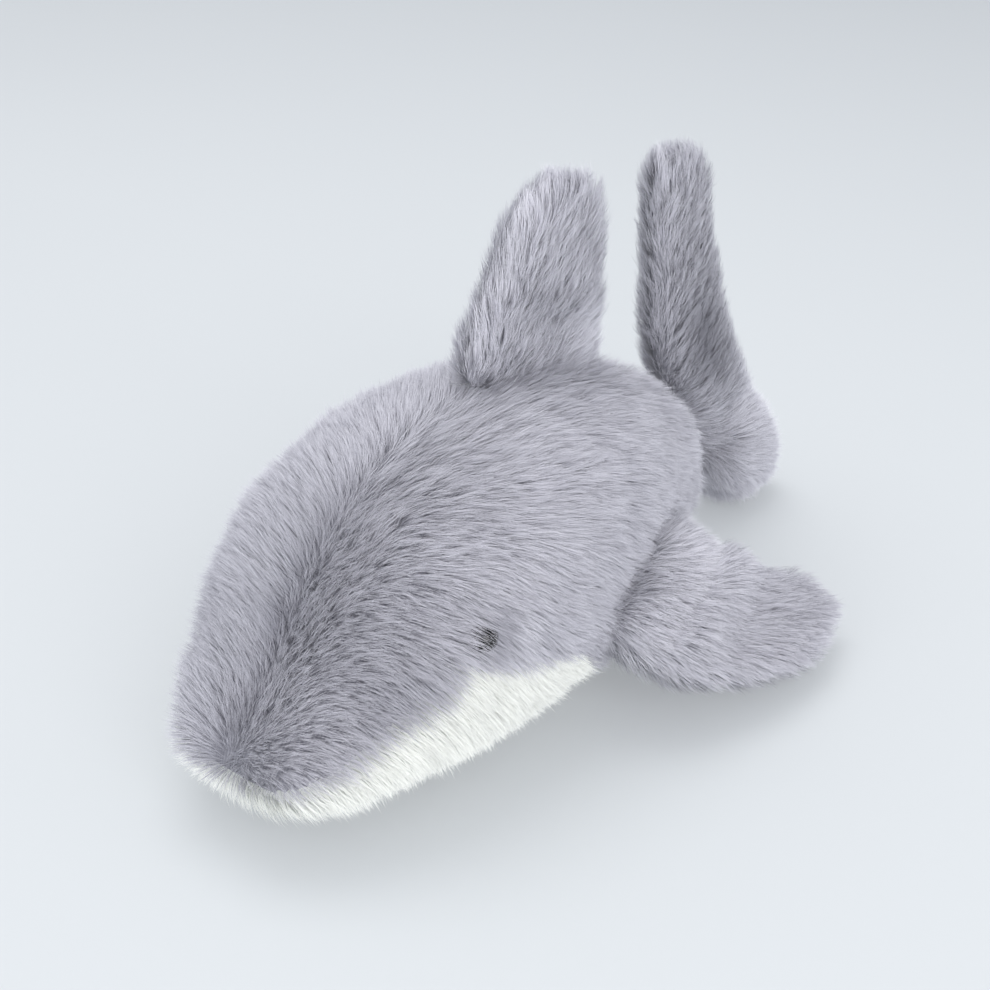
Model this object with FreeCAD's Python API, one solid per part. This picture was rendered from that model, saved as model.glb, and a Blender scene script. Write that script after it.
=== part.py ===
# Long-pile plush shark: padded body with two grey back panels and a white belly panel, padded
# dorsal, tail and pectoral fins on sewn root hinges, safety eyes, stuffing and seam threads.
# Built with the nose towards -Y and the top towards +Z, then centred on the origin, in mm.
import FreeCAD
import Part
import math
import os

Vec = FreeCAD.Vector

# ---- driving dimensions ----
SKIN = 9.0            # backing cloth with its pile pressed flat, body
FIN_SKIN = 6.0        # the same cloth on the fins
SECTION_POWER = 2.25  # roundness of the body's cross-section
FIN_POWER = 2.4       # roundness of a fin's cross-section
RING_POINTS = 24
GAP = 0.6             # clearance round each rolled fin root
EASE = 0.4            # clearance between the body's cloth and its stuffing
THREAD = 0.6          # radius of a sewing thread
SEAM_DEPTH = 4.8      # how deep the body's stitches lie in the cloth
EYE_R = 5.2
SHANK_R = 1.9
SHANK_L = 15.0
WASHER_R = 7.0
WASHER_T = 2.0

# body stations: y, half width, top, bottom
BODY = [(-155, 9, 31.5, 23.5), (-153, 18, 33.5, 21.5), (-149.5, 27, 38, 19.5), (-143, 34.5, 45.5, 17),
        (-130, 44.5, 57, 12), (-110, 55, 84, 7), (-85, 63.5, 114, 2.5), (-55, 68.5, 129, -1),
        (-20, 69, 134, -1.5), (20, 60.5, 130, -1), (60, 46.5, 116, 3), (95, 32, 99, 11),
        (122, 22.5, 84, 20), (150, 14.5, 66, 27)]
# line between grey back and white belly: y, z
BORDER = [(-170, 29), (-154, 29.5), (-144, 33), (-131, 39), (-110, 53), (-92, 65), (-88, 71), (-80, 67.5),
          (-48, 57), (-32, 50), (-16, 32), (0, 22), (60, 19), (95, 23), (125, 33), (180, 33)]

# dorsal fin: hinge start, direction; sections: height, centre, half chord, half thickness
DORSAL_AT = Vec(0, -6, 142.5)
DORSAL_LINE = Vec(0, 71, -21)
DORSAL_UP = Vec(0, 0.28, 0.96)
DORSAL_R = 11.5
DORSAL_ROOT = (29, 40)
DORSAL = [(14, 29, 37.5, 11.5), (30, 28.5, 34.5, 11), (45, 28, 31.5, 10.5), (57, 28, 28.5, 9.5),
          (66, 28.5, 23.5, 8), (72, 29, 17, 5.5), (75, 29.5, 10, 3)]
# pectoral fin (left)
PEC_AT = Vec(72.5, -15, 39.5)
PEC_LINE = Vec(-21, 82, 3)
PEC_OUT = Vec(0.85, 0.2, -0.44)
PEC_R = 10.5
PEC_ROOT = (42, 42)
PEC = [(12, 46, 43.5, 10.5), (25, 52.5, 43.5, 10.5), (38, 63, 40.5, 10), (50, 75, 34, 9.5),
       (59, 84, 26, 8.5), (65, 90, 18, 6.5), (68.5, 93, 10, 3.5)]
# tail fin: horizontal sections z, centre y, half chord, half thickness
TAIL = [(3.6, 190, 10, 3), (6.5, 188.5, 17, 6), (12, 185.5, 22.5, 10), (22, 179, 27, 13), (40, 167.5, 30, 14),
        (70, 150, 31.5, 12.5), (100, 134.5, 31, 12), (130, 125, 26.5, 11.5), (160, 119, 22.5, 11),
        (180, 115, 20, 10), (190, 113.5, 16.5, 8), (195, 113, 11.5, 5), (197, 113, 7, 3)]
TAIL_AT = Vec(0, 120.5, 70)
TAIL_LINE = Vec(0, -0.476, 0.88)
TAIL_R = 12.0
TAIL_SPAN = (-52, 30)   # ends of the rolled root along the hinge line
TAIL_FACE = 5.5         # the body's closing face lies this far ahead of the hinge line
# eye
EYE_AT = Vec(62.5, -81, 78)
EYE_DIR = Vec(0.93, -0.34, 0.14)


def ring(points):
    curve = Part.BSplineCurve()
    curve.interpolate(Points=points, PeriodicFlag=True)
    return Part.Wire([curve.toShape()])


def oval(half_a, half_b, power):
    """Points of a superellipse, as pairs."""
    out = []
    for i in range(RING_POINTS):
        t = 2 * math.pi * i / RING_POINTS
        c, s = math.cos(t), math.sin(t)
        a = math.copysign(abs(c) ** (2 / power), c) * half_a
        b = math.copysign(abs(s) ** (2 / power), s) * half_b
        out.append((a, b))
    return out


def body_solid(inset):
    """The body as a smooth skin over its stations, drawn in by inset."""
    rings = []
    first, last = BODY[0][0], BODY[-1][0]
    for y, w, top, low in BODY:
        half = (top - low) / 2 - inset
        wide = w - inset
        if half < 2 or wide < 3:
            continue
        mid = (top + low) / 2
        yy = y
        if inset and y < -140:
            yy = y + inset * 0.35
        rings.append(ring([Vec(a, yy, mid + b) for a, b in oval(wide, half, SECTION_POWER)]))
    return Part.makeLoft(rings, True, False)


def frame_of(at, line, out):
    """Placement whose X runs along the root line and Z out along the fin."""
    u = Vec(line).normalize()
    v = out - u * out.dot(u)
    v.normalize()
    n = v.cross(u)
    m = FreeCAD.Matrix(u.x, n.x, v.x, at.x, u.y, n.y, v.y, at.y, u.z, n.z, v.z, at.z, 0, 0, 0, 1)
    return FreeCAD.Placement(m)


def fin_solid(sections, root, radius, inset):
    """Padded fin in its own frame: a rolled root about the hinge line, then rising sections."""
    centre, chord = root
    rings = []
    r = radius - inset
    for part in (-0.96, -0.78, -0.42, 0.0):
        v = part * r
        thin = math.sqrt(r * r - v * v)
        rings.append((v, centre, chord - inset - (r - thin), thin))
    top = sections[-1][0]
    for v, c, a, b in sections:
        if a - inset * 1.1 > 4 and b - inset > 1.2 and v < top - inset:
            rings.append((v, c, a - inset * 1.1, b - inset))
    wires = []
    for v, c, a, b in rings:
        wires.append(ring([Vec(c + p, q, v) for p, q in oval(a, b, FIN_POWER)]))
    return Part.makeLoft(wires, True, False)


def tail_solid(inset):
    wires = []
    for z, c, a, b in TAIL:
        if a - inset * 1.1 > 4 and b - inset > 1.2 and 12 <= z <= 185 or inset == 0:
            oval_points = oval(b - inset, a - inset * 1.1, FIN_POWER)
            wires.append(ring([Vec(p, c + q, z) for p, q in oval_points]))
    return Part.makeLoft(wires, True, False)


def capsule(at, line, start, end, radius):
    """Rolled bar with round ends, one solid turned about the hinge line."""
    a = Vec(start, 0, 0)
    b = Vec(end, 0, 0)
    k = radius * math.sqrt(0.5)
    low = Part.Arc(a, Vec(start + radius - k, 0, k), Vec(start + radius, 0, radius)).toShape()
    top = Part.makeLine(Vec(start + radius, 0, radius), Vec(end - radius, 0, radius))
    far = Part.Arc(Vec(end - radius, 0, radius), Vec(end - radius + k, 0, k), b).toShape()
    base = Part.makeLine(b, a)
    face = Part.Face(Part.Wire([low, top, far, base]))
    solid = face.revolve(Vec(0, 0, 0), Vec(1, 0, 0), 360)
    side = Vec(0, 0, 1) if abs(line.z) < 0.5 * line.Length else Vec(0, 1, 0)
    solid.Placement = frame_of(at, line, side)
    return solid


def big_box(x0, x1, y0, y1, z0, z1):
    return Part.makeBox(x1 - x0, y1 - y0, z1 - z0, Vec(x0, y0, z0))


def below_border():
    """Everything under the line where grey meets white, as one solid."""
    pts = [Vec(-120, y, z) for y, z in BORDER]
    pts += [Vec(-120, BORDER[-1][0], -60), Vec(-120, BORDER[0][0], -60)]
    pts.append(pts[0])
    return Part.Face(Part.makePolygon(pts)).extrude(Vec(240, 0, 0))


def behind_tail_face(offset):
    """Everything behind the plane that closes the body in front of the tail fin."""
    box = big_box(-120, 120, offset, 200, -200, 200)
    u = Vec(TAIL_LINE).normalize()
    v = Vec(0, u.z, -u.y)
    m = FreeCAD.Matrix(1, 0, 0, 0, 0, v.y, u.y, TAIL_AT.y, 0, v.z, u.z, TAIL_AT.z, 0, 0, 0, 1)
    box.Placement = FreeCAD.Placement(m)
    return box


def hermite(table, y, column):
    """Smooth value of one column of a station table at y."""
    for i in range(len(table) - 1):
        if table[i][0] <= y <= table[i + 1][0]:
            break
    lo, hi = max(i - 1, 0), min(i + 2, len(table) - 1)
    h = table[i + 1][0] - table[i][0]
    m0 = (table[i + 1][column] - table[lo][column]) / (table[i + 1][0] - table[lo][0]) * h
    m1 = (table[hi][column] - table[i][column]) / (table[hi][0] - table[i][0]) * h
    t = (y - table[i][0]) / h
    a, b = table[i][column], table[i + 1][column]
    return (a * (2 * t ** 3 - 3 * t * t + 1) + m0 * (t ** 3 - 2 * t * t + t)
            + b * (3 * t * t - 2 * t ** 3) + m1 * (t ** 3 - t * t))


def border_z(y):
    for (y0, z0), (y1, z1) in zip(BORDER, BORDER[1:]):
        if y0 <= y <= y1:
            return z0 + (z1 - z0) * (y - y0) / (y1 - y0)
    return BORDER[-1][1]


def on_body(y, z, inset):
    """Half width of the body at a height, drawn in by inset."""
    w = hermite(BODY, y, 1) - inset
    top = hermite(BODY, y, 2) - inset
    low = hermite(BODY, y, 3) + inset
    f = min(abs(z - (top + low) / 2) / ((top - low) / 2), 1.0)
    return w * (1 - f ** SECTION_POWER) ** (1 / SECTION_POWER)


def thread(points):
    curve = Part.BSplineCurve()
    curve.interpolate(points)
    path = Part.Wire([curve.toShape()])
    d = curve.tangent(curve.FirstParameter)[0]
    start = Part.Wire([Part.makeCircle(THREAD, points[0], d)])
    return path.makePipeShell([start], True, False)


def back_thread(y0, y1):
    steps = max(6, int((y1 - y0) / 8))
    ys = [y0 + (y1 - y0) * i / steps for i in range(steps + 1)]
    return thread([Vec(0, y, hermite(BODY, y, 2) - SEAM_DEPTH) for y in ys])


def border_thread(side, y0, y1):
    """Stitch line that runs just inside the grey cloth, along its edge with the white."""
    steps = max(5, int((y1 - y0) / 9))
    pts = []
    for i in range(steps + 1):
        y = y0 + (y1 - y0) * i / steps
        z = (border_z(y - 3) + border_z(y) + border_z(y + 3)) / 3 + 2.6
        pts.append(Vec(side * on_body(y, z, SEAM_DEPTH), y, z))
    return thread(pts)


def edge_thread(rows, place):
    """Thread round a fin's rim, in the fin's middle plane."""
    shape = thread([Vec(a, 0, b) for a, b in rows])
    shape.Placement = place
    return shape


def rim(sections, root, depth):
    """Rim path of a fin from the front of its root, over the tip, to the back of its root."""
    rows = [(0.0, root[0], root[1])] + [(v, c, a) for v, c, a, b in sections[:-1]]
    front = [(c - a + depth, v) for v, c, a in rows if v < sections[-1][0] - depth]
    back = [(c + a - depth, v) for v, c, a in rows if v < sections[-1][0] - depth]
    tip = [(sections[-1][1], sections[-1][0] - depth)]
    return front + tip + back[::-1]


def eye_parts():
    d = Vec(EYE_DIR).normalize()
    centre = EYE_AT - d * (EYE_R - 0.5)
    bead = Part.makeSphere(EYE_R, centre)
    shank = Part.makeCylinder(SHANK_R, SHANK_L, centre, d * -1)
    eye = bead.fuse(shank).removeSplitter()
    base = centre - d * (SHANK_L - 4.5)
    disc = Part.makeCylinder(WASHER_R, WASHER_T, base, d)
    bore = Part.makeCylinder(SHANK_R, WASHER_T + 2, base - d, d)
    return eye, disc.cut(bore)


def mirrored(shape):
    """The same piece on the other side of the shark."""
    return shape.mirror(Vec(0, 0, 0), Vec(1, 0, 0))


def carved(shape, tools):
    """Shape with each tool cut away in turn."""
    for tool in tools:
        shape = shape.cut(tool)
    return shape


def solid_of(shape):
    solids = sorted(shape.Solids, key=lambda s: -s.Volume)
    return solids[0]


def build_fin(sections, root, radius, place, names, nodes):
    outer = fin_solid(sections, root, radius, 0)
    inner = fin_solid(sections, root, radius, FIN_SKIN)
    shell = outer.cut(inner)
    rows = rim(sections, root, FIN_SKIN * 0.55)
    seam = edge_thread(rows, FreeCAD.Placement())
    shell = shell.cut(seam)
    plus = shell.common(big_box(-300, 300, 0, 300, -300, 300))
    minus = shell.common(big_box(-300, 300, -300, 0, -300, 300))
    for name, shape in zip(names, (plus, minus, inner, seam)):
        piece = solid_of(shape).copy()
        piece.Placement = place
        nodes[name] = piece


def main_body(nodes):
    outer = body_solid(0)
    inner = body_solid(SKIN)
    pec_socket = capsule(PEC_AT, PEC_LINE, PEC_ROOT[0] - PEC_ROOT[1] - GAP,
                         PEC_ROOT[0] + PEC_ROOT[1] + GAP, PEC_R + GAP)
    dorsal_socket = capsule(DORSAL_AT, DORSAL_LINE, DORSAL_ROOT[0] - DORSAL_ROOT[1] - GAP,
                            DORSAL_ROOT[0] + DORSAL_ROOT[1] + GAP, DORSAL_R + GAP)
    tail_socket = capsule(TAIL_AT, TAIL_LINE, TAIL_SPAN[0] - GAP, TAIL_SPAN[1] + GAP, TAIL_R + GAP)
    floor = big_box(-200, 200, -300, 300, -50, 0)
    outer = carved(outer, [pec_socket, mirrored(pec_socket), dorsal_socket,
                           behind_tail_face(-TAIL_FACE), tail_socket, floor])
    inner = inner.cut(behind_tail_face(-TAIL_FACE - TAIL_R - 2.5))
    eye, washer = eye_parts()
    eye_r, washer_r = mirrored(eye), mirrored(washer)
    fittings = [eye, washer, eye_r, washer_r]
    shell = carved(outer, [inner] + fittings)
    filling = body_solid(SKIN + EASE)
    filling = carved(filling, [behind_tail_face(-TAIL_FACE - TAIL_R - 2.5 - EASE)] + fittings)
    threads = {
        "centre_back_seam_front": back_thread(-148, -20),
        "centre_back_seam_rear": back_thread(74, 96),
        "belly_seam_left": border_thread(1, -140, 96),
        "belly_seam_right": border_thread(-1, -140, 4),
        "closing_stitch": border_thread(-1, 9, 80)}
    under = below_border()
    back = shell.cut(under)
    middle = [threads["centre_back_seam_front"], threads["centre_back_seam_rear"]]
    left = back.common(big_box(0, 200, -300, 300, -50, 300))
    right = carved(mirrored(left), middle)
    left = mirrored(right)
    sides = [threads["belly_seam_left"], threads["belly_seam_right"], threads["closing_stitch"]]
    nodes["belly_panel"] = solid_of(shell.common(under))
    nodes["back_panel_left"] = solid_of(carved(left, sides[:1]))
    nodes["back_panel_right"] = solid_of(carved(right, sides[1:]))
    nodes["body_stuffing"] = solid_of(filling)
    nodes["eye_left"], nodes["eye_right"] = solid_of(eye), solid_of(eye_r)
    nodes["eye_washer_left"], nodes["eye_washer_right"] = solid_of(washer), solid_of(washer_r)
    nodes.update(threads)


def tail_fin(nodes):
    root = capsule(TAIL_AT, TAIL_LINE, TAIL_SPAN[0], TAIL_SPAN[1], TAIL_R)
    outer = tail_solid(0).fuse(root)
    inner = tail_solid(FIN_SKIN)
    depth = FIN_SKIN * 0.55
    rows = [(z, c, a) for z, c, a, b in TAIL if 6 < z < 194]
    pts = [Vec(0, c + a - depth, z) for z, c, a in rows]
    pts.append(Vec(0, TAIL[-1][1], TAIL[-1][0] - depth))
    pts += [Vec(0, c - a + depth, z) for z, c, a in rows[::-1] if z > 125]
    seam = thread(pts)
    shell = carved(outer, [inner, seam])
    nodes["tail_fin_panel_left"] = solid_of(shell.common(big_box(0, 200, -300, 300, -50, 300)))
    nodes["tail_fin_panel_right"] = solid_of(shell.common(big_box(-200, 0, -300, 300, -50, 300)))
    nodes["tail_fin_stuffing"] = solid_of(inner)
    nodes["tail_fin_seam"] = seam


def shark():
    nodes = {}
    main_body(nodes)
    build_fin(DORSAL, DORSAL_ROOT, DORSAL_R, frame_of(DORSAL_AT, DORSAL_LINE, DORSAL_UP),
              ("dorsal_panel_right", "dorsal_panel_left", "dorsal_stuffing", "dorsal_seam"), nodes)
    names = ("pectoral_top", "pectoral_under", "pectoral_stuffing", "pectoral_seam")
    fin = {}
    build_fin(PEC, PEC_ROOT, PEC_R, frame_of(PEC_AT, PEC_LINE, PEC_OUT), names, fin)
    for name, shape in fin.items():
        nodes[name + "_left"] = shape
        nodes[name + "_right"] = mirrored(shape)
    tail_fin(nodes)
    return nodes


def centred(nodes):
    """Move everything so that the overall box is centred over the origin and stands on z = 0."""
    box = FreeCAD.BoundBox()
    for shape in nodes.values():
        box.add(shape.optimalBoundingBox(False, False))
    shift = Vec(-box.Center.x, -box.Center.y, -box.ZMin)
    print("box", box, "shift", shift)
    for shape in nodes.values():
        shape.translate(shift)
    return shift


os.makedirs("parts", exist_ok=True)
parts = shark()
move = centred(parts)
for name, shape in parts.items():
    print(name, shape.ShapeType, "valid", shape.isValid(), "solids", len(shape.Solids),
          "cm3 %.1f" % (shape.Volume / 1000))
    shape.exportStep("parts/%s.step" % name)
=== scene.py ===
import math
import bpy
import numpy as np
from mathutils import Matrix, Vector, kdtree, noise
from mathutils.bvhtree import BVHTree


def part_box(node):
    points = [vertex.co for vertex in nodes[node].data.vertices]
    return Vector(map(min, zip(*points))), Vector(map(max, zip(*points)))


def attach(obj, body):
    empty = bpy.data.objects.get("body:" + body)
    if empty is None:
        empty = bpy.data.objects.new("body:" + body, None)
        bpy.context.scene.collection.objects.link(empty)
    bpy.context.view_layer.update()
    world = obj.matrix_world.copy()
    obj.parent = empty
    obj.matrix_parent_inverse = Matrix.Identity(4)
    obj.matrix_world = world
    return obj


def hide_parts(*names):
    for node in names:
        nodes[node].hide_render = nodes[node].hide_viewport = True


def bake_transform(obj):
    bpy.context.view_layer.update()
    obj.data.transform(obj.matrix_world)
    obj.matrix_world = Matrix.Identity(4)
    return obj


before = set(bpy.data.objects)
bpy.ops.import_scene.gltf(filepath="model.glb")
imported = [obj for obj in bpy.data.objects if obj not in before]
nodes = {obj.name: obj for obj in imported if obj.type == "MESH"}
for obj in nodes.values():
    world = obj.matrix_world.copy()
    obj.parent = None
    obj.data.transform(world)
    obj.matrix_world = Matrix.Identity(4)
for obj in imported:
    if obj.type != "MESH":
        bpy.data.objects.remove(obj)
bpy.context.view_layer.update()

MM = 0.001
bpy.ops.object.select_all(action="DESELECT")


# ---- Camera, table and light ----
# The toy lies on a seamless pale table, seen from its left front and from above,
# under three broad soft lamps in a bright white room.
NOSE_STATION = -155.0
# how far the toy's own stations, counted from under its dorsal fin, are moved to stand over the origin
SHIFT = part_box("back_panel_left")[0][1] / MM - NOSE_STATION

VIEW_AZ, VIEW_EL = math.radians(39), math.radians(29)
CAMERA_AWAY = 0.7
look_at = Vector((-38.7, 46.4 + SHIFT, 45)) * MM
back = Vector((math.sin(VIEW_AZ) * math.cos(VIEW_EL), -math.cos(VIEW_AZ) * math.cos(VIEW_EL),
               math.sin(VIEW_EL)))
bpy.ops.object.camera_add(location=look_at + back * CAMERA_AWAY)
camera = bpy.context.object
camera.rotation_euler = back.to_track_quat("Z", "Y").to_euler()
camera.data.sensor_width = 36
camera.data.lens = 58.2
camera.data.clip_start = 0.02
bpy.context.scene.camera = camera
bpy.context.scene.view_settings.view_transform = "Standard"

TABLE_SIZE = 14
bpy.ops.mesh.primitive_plane_add(size=TABLE_SIZE, location=(0, 0, 0))
table = bpy.context.object
table.name = "table_top"
bpy.ops.object.mode_set(mode="EDIT")
bpy.ops.mesh.subdivide(number_cuts=6)
bpy.ops.object.mode_set(mode="OBJECT")

room = bpy.data.worlds.new("white_room")
bpy.context.scene.world = room
room.use_nodes = True
room.node_tree.nodes["Background"].inputs["Color"].default_value = (0.94, 0.965, 1.0, 1)
room.node_tree.nodes["Background"].inputs["Strength"].default_value = 0.86


def soft_lamp(name, place, size, power):
    """A round lamp of one size in metres, turned towards the toy."""
    bpy.ops.object.light_add(type="AREA", location=place)
    lamp = bpy.context.object
    lamp.name = name
    lamp.data.shape = "DISK"
    lamp.data.size = size
    lamp.data.energy = power
    lamp.data.color = (1.0, 0.99, 0.98)
    toy_middle = Vector((0, 0, 0.05))
    lamp.rotation_euler = (Vector(place) - toy_middle).to_track_quat("Z", "Y").to_euler()


soft_lamp("key_lamp", (-0.3, 0.1, 1.5), 1.1, 7)
soft_lamp("side_lamp", (1.3, -0.75, 0.72), 1.3, 12.5)
soft_lamp("front_lamp", (0.1, -1.5, 0.45), 1.3, 4.5)


class Sock:
    """An output socket that takes Python arithmetic and adds the Math nodes for it."""

    def __init__(self, tree, out):
        self.tree, self.out = tree, out

    def make(self, kind, out=0, settings=None, **values):
        """Any other node. A value's name is its socket's, or _ and the socket's number."""
        node = self.tree.nodes.new(kind)
        for key, value in (settings or {}).items():
            if key == "stops":
                ramp = node.color_ramp
                while len(ramp.elements) < len(value):
                    ramp.elements.new(0.5)
                for element, (place, colour) in zip(ramp.elements, value):
                    element.position = place
                    element.color = (*colour, 1)
            else:
                setattr(node, key, value)
        for key, value in values.items():
            slot = node.inputs[int(key[1:])] if key[1:].isdigit() else node.inputs[key.replace("_", " ")]
            if isinstance(value, Sock):
                self.tree.links.new(value.out, slot)
            else:
                slot.default_value = value
        return Sock(self.tree, node.outputs[out])

    def mix(self, factor, first, second, **settings):
        """A colour between two, by a factor."""
        settings["data_type"] = "RGBA"
        second = (*second, 1)
        first = first if isinstance(first, Sock) else (*first, 1)
        return self.make("ShaderNodeMix", out=2, settings=settings, _0=factor, _6=first, _7=second)

    def _math(self, operation, a, b):
        return self.make("ShaderNodeMath", settings={"operation": operation}, _0=a, _1=b)

    def __add__(self, other):
        return self._math("ADD", self, other)

    def __mul__(self, other):
        return self._math("MULTIPLY", self, other)

    def __sub__(self, other):
        return self._math("SUBTRACT", self, other)

    def __rsub__(self, other):
        return self._math("SUBTRACT", other, self)

    __radd__, __rmul__ = __add__, __mul__


def finish(name, roughness, specular=0.5, sheen=0.0, coat=0.0):
    """A new material, its shader and a first socket of its Object coordinates."""
    material = bpy.data.materials.new(name)
    material.use_nodes = True
    shader = material.node_tree.nodes["Principled BSDF"]
    shader.inputs["Roughness"].default_value = roughness
    shader.inputs["Specular IOR Level"].default_value = specular
    shader.inputs["Sheen Weight"].default_value = sheen
    shader.inputs["Coat Weight"].default_value = coat
    place = Sock(material.node_tree, None).make("ShaderNodeTexCoord", out="Object")
    return material, shader, place


def wire(value, slot):
    value.tree.links.new(value.out, slot)


paper, shader, place = finish("table_paper", 0.75, 0.25)
grain = place.make("ShaderNodeTexNoise", Vector=place, Scale=3.0, Detail=2.0)
# painted shade: the sheet is painted dimmer from a quarter of a metre behind the middle of the toy onwards
far = place.make("ShaderNodeMapRange", _0=place.make("ShaderNodeSeparateXYZ", out=1, _0=place),
                 _1=0.25, _2=1.6, _3=0.0, _4=0.9)
wire(place.mix(grain * 0.1 + far, (0.44, 0.46, 0.475), (0.33, 0.35, 0.37)), shader.inputs["Base Color"])
# painted light: it glows a little by itself, though it is no lamp, which keeps its shadows pale
shader.inputs["Emission Color"].default_value = (0.93, 0.96, 1.0, 1)
shader.inputs["Emission Strength"].default_value = 0.25
table.data.materials.append(paper)


# ---- Padded forms under the fur ----
# Knitted backing cloth drawn tight over polyester fill. Each form starts from the fill's own
# shape, is blown up a little as cloth, and is then held back to about a millimetre of swell.
def mesh_points(mesh):
    co = np.empty(len(mesh.vertices) * 3, np.float32)
    mesh.vertices.foreach_get("co", co)
    return co.reshape(-1, 3) / MM


def set_points(mesh, points):
    mesh.vertices.foreach_set("co", (points * MM).astype(np.float32).ravel())
    mesh.update()


def smooth(t):
    """0 to 1, with no corner at either end."""
    t = np.clip(t, 0, 1)
    return t * t * (3 - 2 * t)


BLOW_STEPS = 16
PRESSURE = 4


def stuffed(name, source, draw_out, voxel=4.0, swell=1.2):
    """Form over one fill. draw_out moves the remeshed points, in mm, to the cloth's own outline."""
    form = bpy.data.objects.new(name, nodes[source].data.copy())
    bpy.context.scene.collection.objects.link(form)
    bpy.ops.object.select_all(action="DESELECT")
    form.select_set(True)
    bpy.context.view_layer.objects.active = form
    form.data.materials.clear()
    remesh = form.modifiers.new("remesh", "REMESH")
    remesh.mode = "VOXEL"
    remesh.voxel_size = voxel * MM
    bpy.ops.object.modifier_apply(modifier="remesh")
    ease = form.modifiers.new("ease", "SMOOTH")
    ease.iterations = 3
    bpy.ops.object.modifier_apply(modifier="ease")
    set_points(form.data, draw_out(mesh_points(form.data)))
    start = mesh_points(form.data)
    cloth = form.modifiers.new("cloth", "CLOTH")
    cloth.settings.use_pressure = True
    cloth.settings.uniform_pressure_force = PRESSURE
    cloth.settings.effector_weights.gravity = 0
    for step in range(1, BLOW_STEPS + 1):
        bpy.context.scene.frame_set(step)
    bpy.ops.object.modifier_apply(modifier="cloth")
    bpy.context.scene.frame_set(1)
    move = mesh_points(form.data) - start
    size = np.maximum(np.linalg.norm(move, axis=1, keepdims=True), 1e-6)
    set_points(form.data, start + move / size * np.minimum(size, swell))
    fine = form.modifiers.new("fine", "SUBSURF")
    fine.levels = fine.render_levels = 1
    bpy.ops.object.modifier_apply(modifier="fine")
    bpy.ops.object.shade_smooth()
    return form


def trunk_outline(p):
    """The nose runs further and narrower, the rump stands fuller, and the belly sags to the table."""
    y = p[:, 1] - SHIFT
    q = p.copy()
    q[:, 1] -= 6.5 * smooth((-112 - y) / 26)
    q[:, 0] *= 1 - 0.14 * smooth((-118 - y) / 24)
    high = smooth((p[:, 2] - 48) / 24)
    q[:, 1] += (3 + 8 * high) * smooth((y - 84) / 34)
    q[:, 2] += 9 * smooth((y - 70) / 34) * high
    q[:, 2] -= 5.0 * smooth((24 - p[:, 2]) / 16)
    return q


trunk = stuffed("trunk_cloth", "body_stuffing", trunk_outline)


class FinFrame:
    """A fin's own axes: along its sewn root, out along the fin, and across it."""

    def __init__(self, at, line, out):
        self.at = np.array(at, float) + (0, SHIFT, 0)
        u = np.array(line, float)
        self.u = u / np.linalg.norm(u)
        v = np.array(out, float)
        v = v - self.u * (v @ self.u)
        self.v = v / np.linalg.norm(v)
        self.n = np.cross(self.v, self.u)

    def local(self, p):
        d = p - self.at
        return np.stack([d @ self.u, d @ self.v, d @ self.n], 1)

    def point(self, u, v):
        return Vector(self.at + self.u * u + self.v * v) * MM


SIDES = (("left", 1), ("right", -1))
fins = {"dorsal_fin": FinFrame((0, -6, 142.5), (0, 71, -21), (0, 0.28, 0.96)),
        "tail_fin": FinFrame((0, 120.5, 70), (0, -0.476, 0.88), (0, 0.88, 0.476))}
for word, side in SIDES:
    fins["pectoral_fin_" + word] = FinFrame((72.5 * side, -15, 39.5), (-21 * side, 82, 3),
                                            (0.85 * side, 0.2, -0.44))


def bend_at_root(piece, body):
    """Bakes the piece's place into its mesh; the points it works out 9 mm inside the fin's sewn root and 12
    mm out are not used.
    """
    fin = fins[body]
    fin.point(0, -9)
    fin.point(0, 12)
    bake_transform(piece)


def rooted(fin, depth, middle, wider, top=0):
    """Draws a fin's root down into the body, where it is sewn in, and its rim a little wider.
    A top of 1 or -1 fills out that face near the root, so that it runs on from the flank."""
    def outline(p):
        u, v, n = fin.local(p).T
        out = np.outer((u - middle) * (wider - 1), fin.u) + np.outer(2.5 * smooth((v - 40) / 25), fin.v)
        out += np.outer(14 * top * smooth((30 - v) / 28) * smooth(n * top / 5), fin.n)
        deep = depth + 10 * abs(top) * smooth(n * top / 5)
        return p + out - np.outer(deep * smooth((5 - v) / 9), fin.v)
    return outline


def dorsal_outline(p):
    """The dorsal fin's front edge rounds off at the tip and spreads forward at the root."""
    fin = fins["dorsal_fin"]
    u, v = fin.local(p).T[:2]
    slide = (9 * smooth((v - 40) / 24) - 4 * smooth((22 - v) / 16)) * smooth((30 - u) / 22)
    shorter = 5.5 * smooth((v - 34) / 30)
    return rooted(fin, 10, 31, 1.06)(p) + np.outer(slide, fin.u) - np.outer(shorter, fin.v)


def tail_middle(z):
    """Station of the tail fin's middle line at each height."""
    return np.interp(z, [0, 20, 40, 70, 100, 130, 160, 200], [190, 180, 167, 150, 135, 125, 119, 113])


def tail_outline(p):
    """The tall lobe is taller, both lobes are wider, and the short one is plump."""
    q = p.copy()
    y, z = p[:, 1] - SHIFT, p[:, 2]
    q[:, 2] += 5.0 * smooth((z - 160) / 24) - 3.0 * smooth((24 - z) / 14)
    q[:, 1] += (y - tail_middle(z)) * 0.05
    q[:, 0] += 6.5 * np.tanh(p[:, 0] / 2) * smooth((62 - z) / 18) * smooth((y - 146) / 12)
    return q


FIN_VOXEL, FIN_SWELL = 3.0, 1.0
cloths = {"dorsal_fin": stuffed("dorsal_cloth", "dorsal_stuffing", dorsal_outline, FIN_VOXEL, FIN_SWELL),
          "tail_fin": stuffed("tail_fin_cloth", "tail_fin_stuffing", tail_outline, FIN_VOXEL, FIN_SWELL)}
for word, side in SIDES:
    shape = rooted(fins["pectoral_fin_" + word], 10, 50, 1.05, side)
    cloths["pectoral_fin_" + word] = stuffed("pectoral_cloth_" + word, "pectoral_stuffing_" + word, shape,
                                             FIN_VOXEL, FIN_SWELL)

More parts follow.
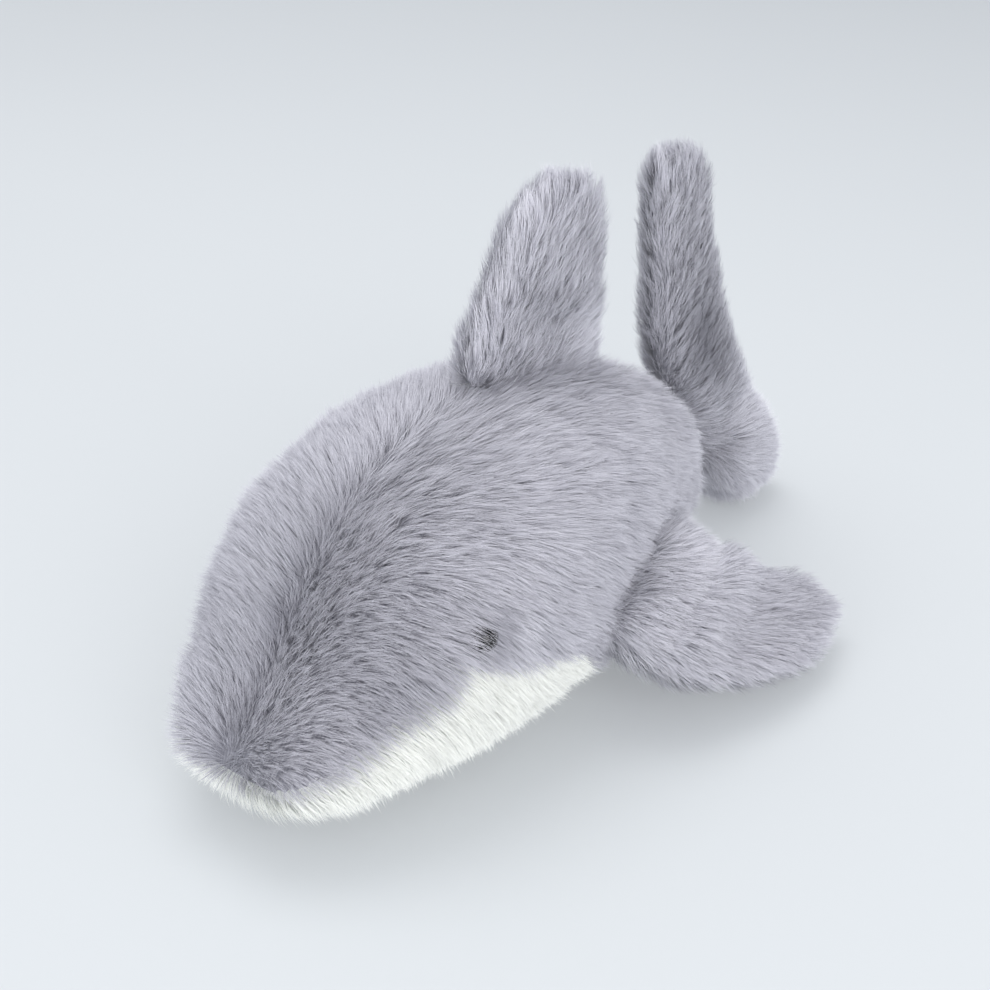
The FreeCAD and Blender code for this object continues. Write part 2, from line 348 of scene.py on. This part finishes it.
# station and height of the line where grey cloth meets white, from the nose to the tail
BORDER = np.array([(-190, 28), (-154, 29.5), (-144, 33), (-131, 39), (-110, 53), (-92, 65), (-88, 71),
                   (-80, 67.5), (-48, 57), (-32, 50), (-16, 32), (0, 22), (60, 19), (95, 23), (125, 33),
                   (180, 33)])


def above_border(p):
    """How far a point stands above the line where grey meets white, in mm."""
    return p[:, 2] - np.interp(p[:, 1] - SHIFT, BORDER[:, 0], BORDER[:, 1])


def knit(name, colour, dark):
    """The backing cloth: a fine knit, dyed like the fur it carries."""
    material, shader, place = finish(name, 0.9, 0.2)
    loops = place.make("ShaderNodeTexWave", out=1, settings={"wave_type": "BANDS"},
                       Vector=place, Scale=260.0, Distortion=2.0)
    patch = place.make("ShaderNodeTexNoise", Vector=place, Scale=45.0, Detail=3.0)
    wire(place.mix(loops * 0.4 + patch * 0.5, dark, colour), shader.inputs["Base Color"])
    bump = place.make("ShaderNodeBump", Strength=0.4, Distance=0.0004, Height=loops)
    wire(bump, shader.inputs["Normal"])
    return material


grey_knit = knit("grey_backing_knit", (0.40, 0.40, 0.45), (0.24, 0.24, 0.28))
white_knit = knit("white_backing_knit", (0.80, 0.81, 0.79), (0.62, 0.63, 0.61))


# ---- Fur ----
# Long acrylic pile, 12 to 15 mm, cut in tapered fibres that lie in locks. It is combed outwards
# from the middle of the back and towards the tail, and along each fin towards its tip.
def fur_finish(name, root, middle, tip):
    """Each fibre is darkest at its root, partly dye and partly painted shade; darker fibres are mixed with
    a bluish grey.
    """
    material, shader, place = finish(name, 0.62, 0.3, 0.25)
    shader.inputs["Sheen Roughness"].default_value = 0.4
    uv = place.make("ShaderNodeUVMap", settings={"uv_map": "fibre"})
    light = uv.make("ShaderNodeSeparateXYZ", _0=uv)
    along = uv.make("ShaderNodeSeparateXYZ", out=1, _0=uv)
    ramp = along.make("ShaderNodeValToRGB", settings={"stops": [(0.0, root), (0.45, middle), (1.0, tip)]},
                      Fac=along)
    dyed = place.mix(1.0 - light, ramp, (0.30, 0.30, 0.34), blend_type="MULTIPLY")
    wire(dyed, shader.inputs["Base Color"])
    return material


grey_fur = fur_finish("grey_fur", (0.34, 0.34, 0.39), (0.66, 0.655, 0.72), (0.86, 0.855, 0.92))
white_fur = fur_finish("white_fur", (0.90, 0.91, 0.87), (0.97, 0.98, 0.94), (0.985, 0.995, 0.955))


def unit(a):
    return a / np.maximum(np.linalg.norm(a, axis=1, keepdims=True), 1e-9)


def skin_triangles(form):
    """Corner points, corner normals and areas of a form's triangles, in mm."""
    mesh = form.data
    mesh.calc_loop_triangles()
    tri = np.empty(len(mesh.loop_triangles) * 3, np.int32)
    mesh.loop_triangles.foreach_get("vertices", tri)
    tri = tri.reshape(-1, 3)
    co = mesh_points(mesh).astype(float)
    nor = np.empty(len(mesh.vertices) * 3, np.float32)
    mesh.vertex_normals.foreach_get("vector", nor)
    nor = nor.reshape(-1, 3).astype(float)
    a, b, c = co[tri[:, 0]], co[tri[:, 1]], co[tri[:, 2]]
    area = np.linalg.norm(np.cross(b - a, c - a), axis=1) / 2
    return co[tri], nor[tri], area


def slow_noise(points, size, seed):
    """Smooth noise of about -1 to 1 at a few points."""
    return np.array([noise.noise(Vector(p) / size + Vector((seed, 0, -seed))) for p in points])


LOCK_WIDTH = 1.15
FIBRE_HALF_WIDTH = 0.079
ON_TABLE = 0.35


def fibre_mesh(name, verts, facing, shade):
    """Six points a fibre, its root, two pairs up the blade and its tip, joined as a triangle, a quad
    and a triangle."""
    count = len(verts)
    first = np.arange(count)[:, None] * 6
    loops = (first + np.array([0, 1, 2, 1, 3, 4, 2, 3, 5, 4])).ravel()
    starts = (np.arange(count)[:, None] * 10 + np.array([0, 3, 7])).ravel()
    mesh = bpy.data.meshes.new(name)
    mesh.vertices.add(count * 6)
    mesh.vertices.foreach_set("co", (verts * MM).astype(np.float32).ravel())
    mesh.loops.add(count * 10)
    mesh.loops.foreach_set("vertex_index", loops.astype(np.int32))
    mesh.polygons.add(count * 3)
    mesh.polygons.foreach_set("loop_start", starts.astype(np.int32))
    mesh.polygons.foreach_set("use_smooth", np.ones(count * 3, bool))
    mesh.update(calc_edges=True)
    mesh.normals_split_custom_set_from_vertices(np.repeat(facing, 6, 0).astype(np.float32))
    along = np.array([0, .33, .33, .33, .66, .66, .33, .66, 1, .66])
    layer = mesh.uv_layers.new(name="fibre")
    uv = np.stack([np.repeat(shade, 10), np.tile(along, count)], 1)
    layer.data.foreach_set("uv", uv.astype(np.float32).ravel())
    return mesh


def grow(name, form, per_mm2, length, keep, comb, seed, tone, lift=(28, 54, 72), stand=None, gather=1.0):
    """Fibres rooted on a form where keep allows, laid along comb, as one mesh of tapered blades.
    lift is how far each third of a fibre leans from upright, in degrees."""
    rng = np.random.default_rng(seed)
    corner, normal, area = skin_triangles(form)
    area = np.where(keep(corner.mean(1)) > 0, area, 0)
    count = int(area.sum() * per_mm2)
    pick = rng.choice(len(area), count, p=area / area.sum())
    r1, r2 = np.sqrt(rng.random(count)), rng.random(count)
    share = np.stack([1 - r1, r1 * (1 - r2), r1 * r2], 1)
    p = (corner[pick] * share[:, :, None]).sum(1)
    n = unit((normal[pick] * share[:, :, None]).sum(1))
    held = rng.random(count) < keep(p)
    p, n = p[held], n[held]
    count = len(p)
    # locks: every fibre leans to the nearest lock's middle fibre
    locks = max(8, int(count / (per_mm2 * LOCK_WIDTH * LOCK_WIDTH)))
    tree = kdtree.KDTree(locks)
    for i in range(locks):
        tree.insert(p[i], i)
    tree.balance()
    mine = np.array([tree.find(q)[1] for q in p])
    near = p[:locks]
    turn = slow_noise(near, 13, seed) * 0.34 + slow_noise(near, 4, seed + 2) * 0.22
    turn = turn + rng.normal(0, 0.07, locks)
    rise = slow_noise(near, 6, seed + 9) * 9 + rng.normal(0, 5, locks)
    wave = slow_noise(near, 17, seed + 4)
    flow, size = comb(p, n)
    flow = flow - n * (flow * n).sum(1, keepdims=True)
    flow = unit(flow)
    across = np.cross(n, flow)
    angle = turn[mine] * gather + rng.normal(0, 0.13, count)
    flow = flow * np.cos(angle)[:, None] + across * np.sin(angle)[:, None]
    long = length * size * np.clip(rng.normal(1, 0.11, count), 0.6, 1.25) * (1 + 0.10 * wave[mine])
    points = [p - n * 0.5]
    upright = np.zeros(count) if stand is None else stand(p)
    for lean in lift:
        phi = np.radians(np.clip(lean - upright + rise[mine] + rng.normal(0, 7, count), 3, 88))[:, None]
        points.append(points[-1] + (n * np.cos(phi) + flow * np.sin(phi)) * (long / 3)[:, None])
    for k, pull in enumerate((0.14, 0.36, 0.52), 1):
        loose = (pull * gather * rng.uniform(0.55, 1.1, count))[:, None]
        middle = points[k][:locks][mine]
        points[k] = points[k] * (1 - loose) + middle * loose
    # each blade is turned its own way about its length
    run = unit(points[3] - points[0])
    roll = rng.uniform(-0.9, 0.9, count)[:, None]
    flat = unit(np.cross(n, run))
    flat = flat * np.cos(roll) + np.cross(run, flat) * np.sin(roll)
    wide = FIBRE_HALF_WIDTH * rng.uniform(0.7, 1.25, count)[:, None]
    verts = np.stack([points[0], points[1] - flat * wide, points[1] + flat * wide,
                      points[2] - flat * wide * 0.8, points[2] + flat * wide * 0.8, points[3]], 1)
    verts[:, :, 2] = np.maximum(verts[:, :, 2], ON_TABLE)
    # each fibre's tone differs at random and from lock to lock, and tone paints shade and light onto it by
    # place
    shade = np.clip(0.78 + rng.normal(0, 0.11, count) + 0.09 * wave[mine], 0.05, 1)
    shade = np.clip(shade * tone(p), 0.02, 1)
    # fibres shade like round hairs that follow the cloth they grow from
    soft = n - run * (n * run).sum(1, keepdims=True)
    facing = unit(n * 0.7 + unit(soft) * 0.5 + flat * rng.uniform(-0.25, 0.25, (count, 1)))
    fur = bpy.data.objects.new(name, fibre_mesh(name, verts, facing, shade))
    bpy.context.scene.collection.objects.link(fur)
    return fur


EYES = np.array([(54.5, -78 + SHIFT, 77), (-54.5, -78 + SHIFT, 77)])
# from where to where along its root each fin leaves no room for the body's own pile
ROOTS = {"dorsal_fin": (-7, 66), "tail_fin": (-60, 34), "pectoral_fin_left": (4, 80),
         "pectoral_fin_right": (4, 80)}


def ahead_of_eye(p, eye):
    """1 just ahead of an eye, fading to 0 in a centimetre or two."""
    return np.exp(-((p - eye + (0, 7, -1)) ** 2).sum(1) / 9.0 ** 2)


def clear_of_fins(p):
    free = np.ones(len(p), bool)
    for name, (low, high) in ROOTS.items():
        u, v, n = fins[name].local(p).T
        free &= ~((u > low) & (u < high) & (abs(n) < 3) & (abs(v) < 24))
    return free


def beside_root(p, name, middle, half):
    """Distance in mm from the line along which a fin is sewn on."""
    u, v, n = fins[name].local(p).T
    return np.hypot(v, n) + np.maximum(abs(u - middle) - half, 0)


def body_comb(p, n):
    """Out from the middle of the back and towards the tail; from the nose it rays out, and beside
    a fin it is longer and lies up over the fin's root."""
    side = np.tanh(p[:, 0] / 2.5)
    out = np.stack([side * n[:, 2], np.zeros(len(p)), -side * n[:, 0]], 1)
    nose = np.array([0, -146 + SHIFT, 36])
    ray = p - nose
    far = np.linalg.norm(ray, axis=1, keepdims=True)
    blend = smooth(far / 55)
    along = unit(ray) * (1 - blend) + np.array([0, 1, 0]) * blend
    along = unit(along - n * (along * n).sum(1, keepdims=True))
    head = smooth((-30 - (p[:, 1:2] - SHIFT)) / 40)
    flow = along * (0.86 - 0.24 * head) + out * (0.55 + 0.30 * head) * blend
    flow[:, 2] -= 0.10
    size = np.ones(len(p))
    for name, middle, half, reach in (("pectoral_fin_left", 42, 40, 34), ("pectoral_fin_right", 42, 40, 34),
                                      ("dorsal_fin", 30, 34, 22)):
        fin = fins[name]
        near = smooth((reach - beside_root(p, name, middle, half)) / (reach - 8))[:, None]
        flow = flow * (1 - 0.75 * near) + (fin.v + fin.u * 0.45) * 0.75 * near
        size += 0.45 * near[:, 0]
    for eye in EYES:
        size *= 1 + 0.10 * ahead_of_eye(p, eye)
    return flow, size * (0.72 + 0.28 * blend[:, 0])


# place, reach and depth of each spot of painted shade in the body's grey pile, the same on both sides:
# brow, nose, over the eye, the eye's hollow, a lighter spot behind it, the dark one after that, cheek
SHADE_SPOTS = (((0, -110, 71), 8, 0.20), ((0, -141, 39), 8, 0.14), ((54, -74, 83), 6, 0.36),
         ((54.5, -78, 76), 6, 0.30), ((55, -65, 79), 9, -0.16), ((55, -57, 70), 4, 0.30),
         ((48, -108, 60), 24, 0.21))


def body_painted_shade(p):
    """Painted shade down the seam on the head where the pile parts, at the nose, round and behind the eyes
    and on the cheeks.
    """
    y = p[:, 1] - SHIFT
    head = smooth((-62 - y) / 45)
    # painted shade: the body's pile starts darker than the dorsal and tail fins' pile of the same grey
    tone = 0.83 - 0.12 * head * np.exp(-(p[:, 0] / 14) ** 2) - 0.14 * head * np.exp(-(p[:, 0] / 4) ** 2)
    q = np.stack([abs(p[:, 0]), y, p[:, 2]], 1)
    for spot, reach, depth in SHADE_SPOTS:
        tone = tone - depth * np.exp(-((q - spot) ** 2).sum(1) / reach ** 2)
    return tone


def white_tone(p):
    """Every fibre as light as the dye is."""
    return np.full(len(p), 1.25)


def body_stand(p):
    """The pile stands up on the head, beside the dorsal fin and just ahead of each eye."""
    y = p[:, 1] - SHIFT
    up = 12 * smooth((-50 - y) / 40)
    for eye in EYES:
        up = np.maximum(up, 17 * ahead_of_eye(p, eye))
    return np.maximum(up, 22 * smooth((24 - beside_root(p, "dorsal_fin", 30, 34)) / 14))


def zone(low, high, side, white):
    """Keeps one cloth panel's share of the body between two stations, with a soft colour border."""
    def keep(p):
        y = p[:, 1] - SHIFT
        share = smooth((above_border(p) + 1.0) / 2.0)
        if white:
            share = 1 - share
        ok = (y >= low) & (y < high) & clear_of_fins(p)
        if side:
            ok &= p[:, 0] * side > 0
        thin = np.where(p[:, 2] < 5.0, 0.35, 1.0)
        return share * ok * thin
    return keep


PER_MM2 = 3.0
back_parts = (("head", -200, -60, 111), ("shoulder", -60, 25, 57), ("rear", 25, 200, 45))
for word, side in SIDES:
    for part, low, high, seed in back_parts:
        fur = grow("fur_%s_%s" % (part, word), trunk, PER_MM2, 14.5, zone(low, high, side, False),
                   body_comb, seed + 10 * side, body_painted_shade, stand=body_stand)
        fur.data.materials.append(grey_fur)
        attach(fur, "trunk")
for part, low, high, seed in (("jaw", -200, -40, 79), ("belly", -40, 200, 83)):
    fur = grow("fur_" + part, trunk, PER_MM2 * 0.85, 13.5, zone(low, high, 0, True), body_comb,
               seed, white_tone, gather=0.35)
    fur.data.materials.append(white_fur)
    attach(fur, "trunk")


def fin_comb(fin, lean, spread, middle):
    """Out along the fin, fanning a little to its two edges; at the root's rear it lies back."""
    def comb(p, n):
        q = fin.local(p)
        rays = (q[:, 0:1] - middle) / 40 * spread
        rear = 0.8 * smooth((30 - q[:, 1:2]) / 26) * smooth((q[:, 0:1] - middle + 8) / 24)
        return fin.v * 0.9 + fin.u * (lean + rays + rear), np.ones(len(p))
    return comb


def tail_comb(p, n):
    """Up the tall lobe, turning back and then down over the short one."""
    turn = np.radians(np.interp(p[:, 2], [6, 46, 84, 200], [-55, 0, 88, 100]))
    return np.stack([np.zeros(len(p)), np.cos(turn), np.sin(turn)], 1), np.ones(len(p))


def tail_painted_light_and_shade(p):
    """Painted light, most at the edges; painted shade down the tall lobe's middle and in the hollow over
    the short one.
    """
    y, z = p[:, 1] - SHIFT, p[:, 2]
    middle = tail_middle(z)
    dark = np.exp(-((y - middle + 4) / 17) ** 2 - ((z - 96) / 36) ** 2)
    hollow = np.exp(-((y - 139) / 12) ** 2 - ((z - 35) / 15) ** 2)
    edge = smooth((abs(y - middle) - 12) / 14)
    return 1.2 + 0.15 * edge - 0.78 * dark - 0.65 * hollow


def dorsal_painted_light(p):
    """Painted light, lighter than the body's pile of the same grey, with a darker patch low on the front.
    """
    u, v = fins["dorsal_fin"].local(p).T[:2]
    return 1.28 - 0.30 * np.exp(-((u - 16) / 15) ** 2 - ((v - 14) / 16) ** 2)


def pectoral_painted_light(p):
    """Painted light near the root, where the fin meets the flank."""
    left = p * np.where(p[:, 0:1] < 0, (-1, 1, 1), (1, 1, 1))
    v = fins["pectoral_fin_left"].local(left)[:, 1]
    return 0.84 + 0.25 * smooth((24 - v) / 22)


def keep_fin(fin, face):
    """One face of a fin, from just inside its root outwards."""
    def keep(p):
        q = fin.local(p)
        return ((q[:, 2] * face > 0) & (q[:, 1] > -15)).astype(float)
    return keep


UPRIGHT_LIFT, PECTORAL_LIFT = (36, 62, 77), (26, 50, 70)
fin_fur = [("dorsal_fin", "fur_dorsal", fin_comb(fins["dorsal_fin"], -0.22, 0.10, 32), dorsal_painted_light,
            UPRIGHT_LIFT, 310, ((-1, "left"), (1, "right"))),
           ("tail_fin", "fur_tail_fin", tail_comb, tail_painted_light_and_shade,
            UPRIGHT_LIFT, 312, ((-1, "left"), (1, "right")))]
for word, side, seed in (("left", 1, 317), ("right", -1, 318)):
    comb = fin_comb(fins["pectoral_fin_" + word], 0.35, 0.3, 46)
    fin_fur.append(("pectoral_fin_" + word, "fur_pectoral_" + word, comb, pectoral_painted_light,
                    PECTORAL_LIFT, seed, ((side, "top"), (-side, "under"))))
for body, label, comb, tone, lift, seed, faces in fin_fur:
    for face, word in faces:
        fur = grow("%s_%s" % (label, word), cloths[body], PER_MM2 * 1.1, 12.5, keep_fin(fins[body], face),
                   comb, seed + face, tone, lift=lift)
        fur.data.materials.append(grey_fur)
        bend_at_root(fur, body)


# ---- Fin cloth ----
# Two faces of grey backing knit for each fin, sewn round the rim, turned right side out and stuffed.
fin_panels = {"dorsal_fin": ("dorsal_panel_left", "dorsal_panel_right"),
              "tail_fin": ("tail_fin_panel_left", "tail_fin_panel_right"),
              "pectoral_fin_left": ("pectoral_top_left", "pectoral_under_left"),
              "pectoral_fin_right": ("pectoral_top_right", "pectoral_under_right")}
for body, form in cloths.items():
    form.data.materials.append(grey_knit)
    bend_at_root(form, body)
    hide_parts(*fin_panels[body])


# ---- Polyester fill ----
# Carded fibre packed into each form, lumpy where handfuls of it meet, just inside the cloth.
# The body's fill is one piece, and each fin has its own.
fill_look, shader, place = finish("polyester_fill", 0.95, 0.2)
tuft = place.make("ShaderNodeTexNoise", Vector=place, Scale=90.0, Detail=6.0)
wire(place.mix(tuft, (0.70, 0.70, 0.69), (0.88, 0.88, 0.87)), shader.inputs["Base Color"])
wire(place.make("ShaderNodeBump", Strength=0.5, Distance=0.001, Height=tuft), shader.inputs["Normal"])


def packed(name, form, stuffing):
    """Fill inside one form: its cloth drawn in by a good millimetre, with soft lumps."""
    fill = bpy.data.objects.new(name, form.data.copy())
    bpy.context.scene.collection.objects.link(fill)
    fill.data.materials.clear()
    fill.data.materials.append(fill_look)
    mesh = fill.data
    normal = np.empty(len(mesh.vertices) * 3, np.float32)
    mesh.vertex_normals.foreach_get("vector", normal)
    points = mesh_points(mesh)
    lump = np.array([noise.noise(Vector(p) / 14) for p in points])
    set_points(mesh, points - normal.reshape(-1, 3) * (1.9 + 0.7 * lump[:, None]))
    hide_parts(stuffing)
    return fill


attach(packed("trunk_fill", trunk, "body_stuffing"), "trunk")
fin_stuffing = {"dorsal_fin": "dorsal_stuffing",
                "tail_fin": "tail_fin_stuffing",
                "pectoral_fin_left": "pectoral_stuffing_left",
                "pectoral_fin_right": "pectoral_stuffing_right"}
for body, form in cloths.items():
    bend_at_root(packed(body + "_fill", form, fin_stuffing[body]), body)


# ---- Sewing ----
# Spun polyester thread: short slanting stitches that close every seam, lying on the cloth.
# The body has a seam down its back and one along each colour border; each fin has one round its rim.
thread_look, shader, place = finish("spun_thread", 0.55, 0.4)
ply = place.make("ShaderNodeTexWave", out=1, Vector=place, Scale=900.0, Distortion=0.5)
wire(place.mix(ply, (0.16, 0.16, 0.19), (0.30, 0.30, 0.34)), shader.inputs["Base Color"])

STITCH_STEP, STITCH_HALF = 3.2, 1.25
# along the stitch, above the cloth and thickness of the thread, where it dips in, lies flat and dips in
STITCH_RINGS = ((-1, -0.35, 0.12), (-0.45, 0.25, 0.32), (0.45, 0.25, 0.32), (1, -0.35, 0.12))
THREAD_SIDES = 6


def cast(form, starts, towards):
    """Points where lines drawn towards a form first meet its cloth, with the cloth's normals, in mm."""
    mesh = form.data
    points = mesh_points(mesh)
    tree = BVHTree.FromPolygons([tuple(map(float, p)) for p in points],
                                [tuple(f.vertices) for f in mesh.polygons])
    hits = [tree.ray_cast(Vector(a), (Vector(b) - Vector(a)).normalized()) for a, b in zip(starts, towards)]
    return [(h[0], h[1]) for h in hits if h[0] is not None]


def add_stitch(verts, faces, middle, lie, up):
    """One stitch: a short bar of thread along lie, closed at both ends."""
    base = len(verts)
    side = up.cross(lie)
    for t, rise, radius in STITCH_RINGS:
        core = middle + lie * (t * STITCH_HALF) + up * rise
        for j in range(THREAD_SIDES):
            turn = math.tau * j / THREAD_SIDES
            verts.append((core + (up * math.cos(turn) + side * math.sin(turn)) * radius) * MM)
    for ring in range(len(STITCH_RINGS) - 1):
        q = base + ring * THREAD_SIDES
        for j in range(THREAD_SIDES):
            after = (j + 1) % THREAD_SIDES
            faces.append((q + j, q + after, q + THREAD_SIDES + after, q + THREAD_SIDES + j))
    faces.append(tuple(base + j for j in reversed(range(THREAD_SIDES))))
    faces.append(tuple(len(verts) - THREAD_SIDES + j for j in range(THREAD_SIDES)))


def stitches(name, row, seam):
    """One thread as a row of slanting stitches, each a short bar that dips into the cloth at both ends."""
    verts, faces = [], []
    for (a, na), (b, nb) in zip(row, row[1:]):
        count = max(1, round((b - a).length / STITCH_STEP))
        along = (b - a).normalized()
        for k in range(count):
            part = (k + 0.5) / count
            up = na.lerp(nb, part).normalized()
            across = up.cross(along).normalized()
            add_stitch(verts, faces, a.lerp(b, part), (along + across * 0.35).normalized(), up)
    mesh = bpy.data.meshes.new(name)
    mesh.from_pydata(verts, [], faces)
    mesh.update()
    thread = bpy.data.objects.new(name, mesh)
    bpy.context.scene.collection.objects.link(thread)
    bpy.ops.object.select_all(action="DESELECT")
    thread.select_set(True)
    bpy.context.view_layer.objects.active = thread
    bpy.ops.object.mode_set(mode="EDIT")
    bpy.ops.mesh.select_all(action="SELECT")
    bpy.ops.mesh.normals_make_consistent(inside=False)
    bpy.ops.object.mode_set(mode="OBJECT")
    bpy.ops.object.shade_smooth()
    thread.data.materials.append(thread_look)
    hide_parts(seam)
    return thread


def back_row(low, high):
    ys = np.arange(low, high, 5.0) + SHIFT
    return cast(trunk, [(0, y, 300) for y in ys], [(0, y, 0) for y in ys])


def border_row(side, low, high):
    ys = np.arange(low, high, 4.0)
    zs = np.interp(ys, BORDER[:, 0], BORDER[:, 1])
    return cast(trunk, [(side * 200, y + SHIFT, z) for y, z in zip(ys, zs)],
                [(0, y + SHIFT, z) for y, z in zip(ys, zs)])


def rim_row(body, centre, low, high):
    """Round a fin from one direction to another, in degrees from its root line."""
    fin = fins[body]
    middle = fin.point(*centre) / MM
    rim = [middle + Vector(fin.u * math.cos(math.radians(a)) + fin.v * math.sin(math.radians(a))) * 250
           for a in range(low, high, 5)]
    return cast(cloths[body], rim, [middle] * len(rim))


for name, row, seam in (("seam_back_front", back_row(-138, -18), "centre_back_seam_front"),
                        ("seam_back_rear", back_row(72, 100), "centre_back_seam_rear"),
                        ("seam_belly_left", border_row(1, -136, 100), "belly_seam_left"),
                        ("seam_belly_right", border_row(-1, -136, 6), "belly_seam_right"),
                        ("seam_closing", border_row(-1, 9, 82), "closing_stitch")):
    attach(stitches(name, row, seam), "trunk")
for body, seam, centre, low, high in (("dorsal_fin", "dorsal_seam", (30, 35), -25, 205),
                                      ("tail_fin", "tail_fin_seam", (5, 30), -65, 245),
                                      ("pectoral_fin_left", "pectoral_seam_left", (50, 30), -25, 205),
                                      ("pectoral_fin_right", "pectoral_seam_right", (50, 30), -25, 205)):
    bend_at_root(stitches("seam_" + body, rim_row(body, centre, low, high), seam), body)


# ---- Body cloth ----
# Three panels of backing knit, two grey ones that meet along the back and a white one from the
# jaw to the tail. Sewn together they make one skin, drawn tight over the body's fill.
trunk.data.materials.append(grey_knit)
trunk.data.materials.append(white_knit)
centres = np.array([p.center for p in trunk.data.polygons]) / MM
trunk.data.polygons.foreach_set("material_index", (above_border(centres) < 0).astype(np.int32))
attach(trunk, "trunk")
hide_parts("back_panel_left", "back_panel_right", "belly_panel")


# ---- Eyes ----
# Moulded black beads on shanks, held from inside by nylon lock washers pressed onto the shanks.
# They keep their designed shape and only get their finish here.
bead, shader, place = finish("eye_gloss_black", 0.16, 0.35, coat=0.15)
swirl = place.make("ShaderNodeTexNoise", Vector=place, Scale=400.0, Detail=2.0)
wire(place.mix(swirl, (0.006, 0.006, 0.007), (0.016, 0.015, 0.016)), shader.inputs["Base Color"])
wire(swirl * 0.08 + 0.12, shader.inputs["Roughness"])

washer, shader, place = finish("washer_nylon", 0.45, 0.5)
mark = place.make("ShaderNodeTexNoise", Vector=place, Scale=150.0, Detail=3.0)
wire(place.mix(mark, (0.66, 0.66, 0.64), (0.74, 0.74, 0.73)), shader.inputs["Base Color"])

for word, side in SIDES:
    for name, look in (("eye_" + word, bead), ("eye_washer_" + word, washer)):
        nodes[name].data.materials.clear()
        nodes[name].data.materials.append(look)
